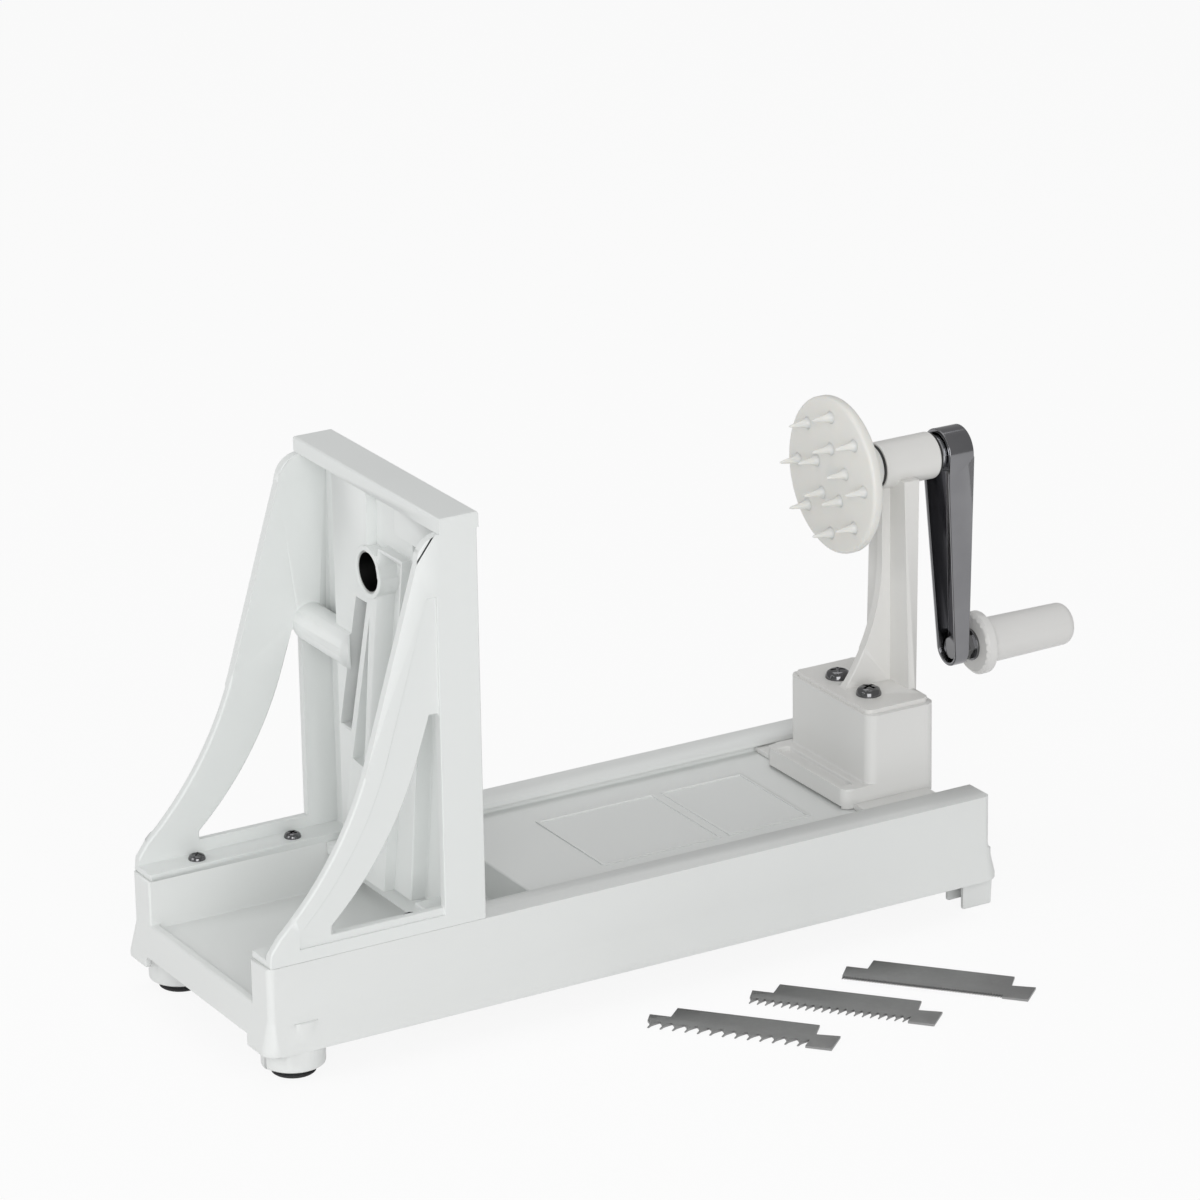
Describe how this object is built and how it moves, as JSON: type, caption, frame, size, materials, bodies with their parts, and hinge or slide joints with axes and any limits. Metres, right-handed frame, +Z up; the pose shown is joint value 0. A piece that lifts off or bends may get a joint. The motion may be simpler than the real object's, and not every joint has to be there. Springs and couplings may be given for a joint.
{
  "type": "spiral slicer with hand crank",
  "caption": "Low base with a windowed upright blade frame and a sliding carriage whose cranked spiked disc turns and feeds a vegetable onto the blade; loose comb blades beside it.",
  "frame": {"origin": "on the table, under the middle of the bounding box of the whole set with its loose comb blades", "axes": "+X along the base from the blade end to the crank end, +Y across it away from the loose combs, +Z up"},
  "size_m": [0.422, 0.2146, 0.222],
  "materials": {
    "white_plastic": "smooth, slightly soft gloss",
    "warm_plastic": "smooth, slightly soft gloss",
    "disc_plastic": "milky, slightly see-through",
    "black_rubber": "matt",
    "black_plastic": "matt",
    "bright_screw": "polished",
    "bright_steel": "turned and plated",
    "dark_chrome": "dark polished plating",
    "blade_steel": "fine ground",
    "bush_brass": "turned"
  },
  "bodies": {
    "base": {"base_body": "white_plastic", "suction_feet": "black_rubber", "blade_frame": "white_plastic", "frame_screws": "bright_screw", "core_tube": "blade_steel", "main_blade": "blade_steel"},
    "carriage": {"carriage": "warm_plastic", "crank_bracket": "warm_plastic", "bracket_screws": "bright_screw", "front_bush": "bush_brass", "rear_bush": "bush_brass"},
    "crank": {"crank_shaft": "bright_steel", "spiked_disc": "disc_plastic", "front_washer": "black_plastic", "rear_washer": "black_plastic", "crank_arm": "dark_chrome", "arm_boss": "bright_steel", "crank_nut": "bright_steel", "handle_bolt": "bright_steel", "handle_nut": "bright_steel", "handle_washer": "bright_steel"},
    "grip": {"handle_grip": "warm_plastic"},
    "comb_coarse": {"comb_coarse": "blade_steel"},
    "comb_medium": {"comb_medium": "blade_steel"},
    "comb_fine": {"comb_fine": "blade_steel"}
  },
  "joints": [
    {"name": "carriage_slide", "type": "slide", "parent": "base", "child": "carriage", "axis": [-1, 0, 0], "range_m": [0, 0.183]},
    {"name": "crank_turn", "type": "hinge", "parent": "carriage", "child": "crank", "pos_m": [0.128, 0.04385, 0.1818], "axis": [1, 0, 0], "continuous": true},
    {"name": "grip_spin", "type": "hinge", "parent": "crank", "child": "grip", "pos_m": [0.187, 0.04385, 0.0928], "axis": [1, 0, 0], "continuous": true},
    {"name": "comb_coarse_lift", "type": "slide", "parent": "base", "child": "comb_coarse", "axis": [0, 0, 1], "range_m": [0, 0.05]},
    {"name": "comb_medium_lift", "type": "slide", "parent": "base", "child": "comb_medium", "axis": [0, 0, 1], "range_m": [0, 0.05]},
    {"name": "comb_fine_lift", "type": "slide", "parent": "base", "child": "comb_fine", "axis": [0, 0, 1], "range_m": [0, 0.05]}
  ]
}
